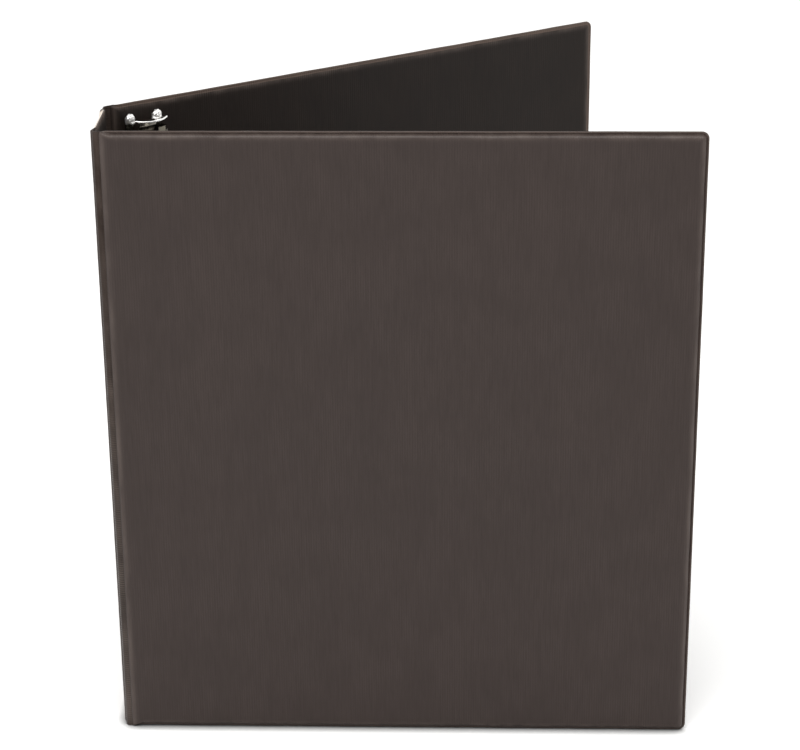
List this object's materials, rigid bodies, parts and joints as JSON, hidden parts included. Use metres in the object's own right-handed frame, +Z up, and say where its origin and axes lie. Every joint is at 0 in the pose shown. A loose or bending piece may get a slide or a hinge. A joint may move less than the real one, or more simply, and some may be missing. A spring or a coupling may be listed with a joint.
{
  "type": "ring binder",
  "caption": "Stiff vinyl-covered ring binder for letter paper, standing part open, with hinged covers and spine and a lever-released metal ring mechanism inside the back cover.",
  "frame": {"origin": "middle of the foot of the spine, half way through its thickness, on the surface that the binder stands on", "axes": "+Z up along the spine; -Y out of the front cover's outer face; -X out of the spine's outer face. The back cover is open by 33.5 degrees"},
  "size_m": [0.2637, 0.1833, 0.2921],
  "materials": {
    "black_vinyl": "embossed satin",
    "chipboard": "raw",
    "nickel_steel": "nickel plated",
    "bright_nickel": "bright"
  },
  "bodies": {
    "spine": {"spine_outer_vinyl": "black_vinyl", "spine_board": "chipboard", "spine_inner_vinyl": "black_vinyl", "front_hinge_vinyl": "black_vinyl", "back_hinge_vinyl": "black_vinyl"},
    "front_cover": {"front_outer_vinyl": "black_vinyl", "front_board": "chipboard", "front_inner_vinyl": "black_vinyl", "front_pocket": "black_vinyl"},
    "back_cover": {"back_outer_vinyl": "black_vinyl", "back_board": "chipboard", "back_inner_vinyl": "black_vinyl", "back_pocket": "black_vinyl", "ring_housing": "nickel_steel", "rivet_top": "bright_nickel", "rivet_bottom": "bright_nickel", "lever_pin_top": "nickel_steel", "lever_pin_bottom": "nickel_steel"},
    "spine_side_rings": {"hinge_plate_spine_side": "nickel_steel", "curved_ring_half_top": "bright_nickel", "curved_ring_half_middle": "bright_nickel", "curved_ring_half_bottom": "bright_nickel"},
    "page_side_rings": {"hinge_plate_page_side": "nickel_steel", "post_ring_half_top": "bright_nickel", "post_ring_half_middle": "bright_nickel", "post_ring_half_bottom": "bright_nickel"},
    "lever_top": {"lever_top": "bright_nickel"},
    "lever_bottom": {"lever_bottom": "bright_nickel"}
  },
  "joints": [
    {"name": "front_hinge", "type": "hinge", "parent": "spine", "child": "front_cover", "pos_m": [0, -0.01835, 0], "axis": [0, 0, -1], "range_deg": [0, 180], "deforming": ["front_hinge_vinyl"]},
    {"name": "back_hinge", "type": "hinge", "parent": "spine", "child": "back_cover", "pos_m": [0, 0.01835, 0], "axis": [0, 0, 1], "range_deg": [-33.5, 146.5], "deforming": ["back_hinge_vinyl"]},
    {"name": "spine_side_plate_hinge", "type": "hinge", "parent": "back_cover", "child": "spine_side_rings", "pos_m": [0.00938, 0.01958, 0], "axis": [0, 0, -1], "range_deg": [0, 13]},
    {"name": "page_side_plate_hinge", "type": "hinge", "parent": "back_cover", "child": "page_side_rings", "pos_m": [0.02389, 0.02918, 0], "axis": [0, 0, 1], "range_deg": [0, 13]},
    {"name": "lever_top_pivot", "type": "hinge", "parent": "back_cover", "child": "lever_top", "pos_m": [0.0168, 0.02413, 0.2773], "axis": [-0.8339, -0.5519, 0], "range_deg": [0, 17]},
    {"name": "lever_bottom_pivot", "type": "hinge", "parent": "back_cover", "child": "lever_bottom", "pos_m": [0.0168, 0.02413, 0.0148], "axis": [0.8339, 0.5519, 0], "range_deg": [0, 17]}
  ],
  "couplings": [
    {"joint": "page_side_plate_hinge", "follows": "spine_side_plate_hinge", "ratio": 1},
    {"joint": "lever_top_pivot", "follows": "spine_side_plate_hinge", "ratio": 1.3077},
    {"joint": "lever_bottom_pivot", "follows": "spine_side_plate_hinge", "ratio": 1.3077}
  ]
}
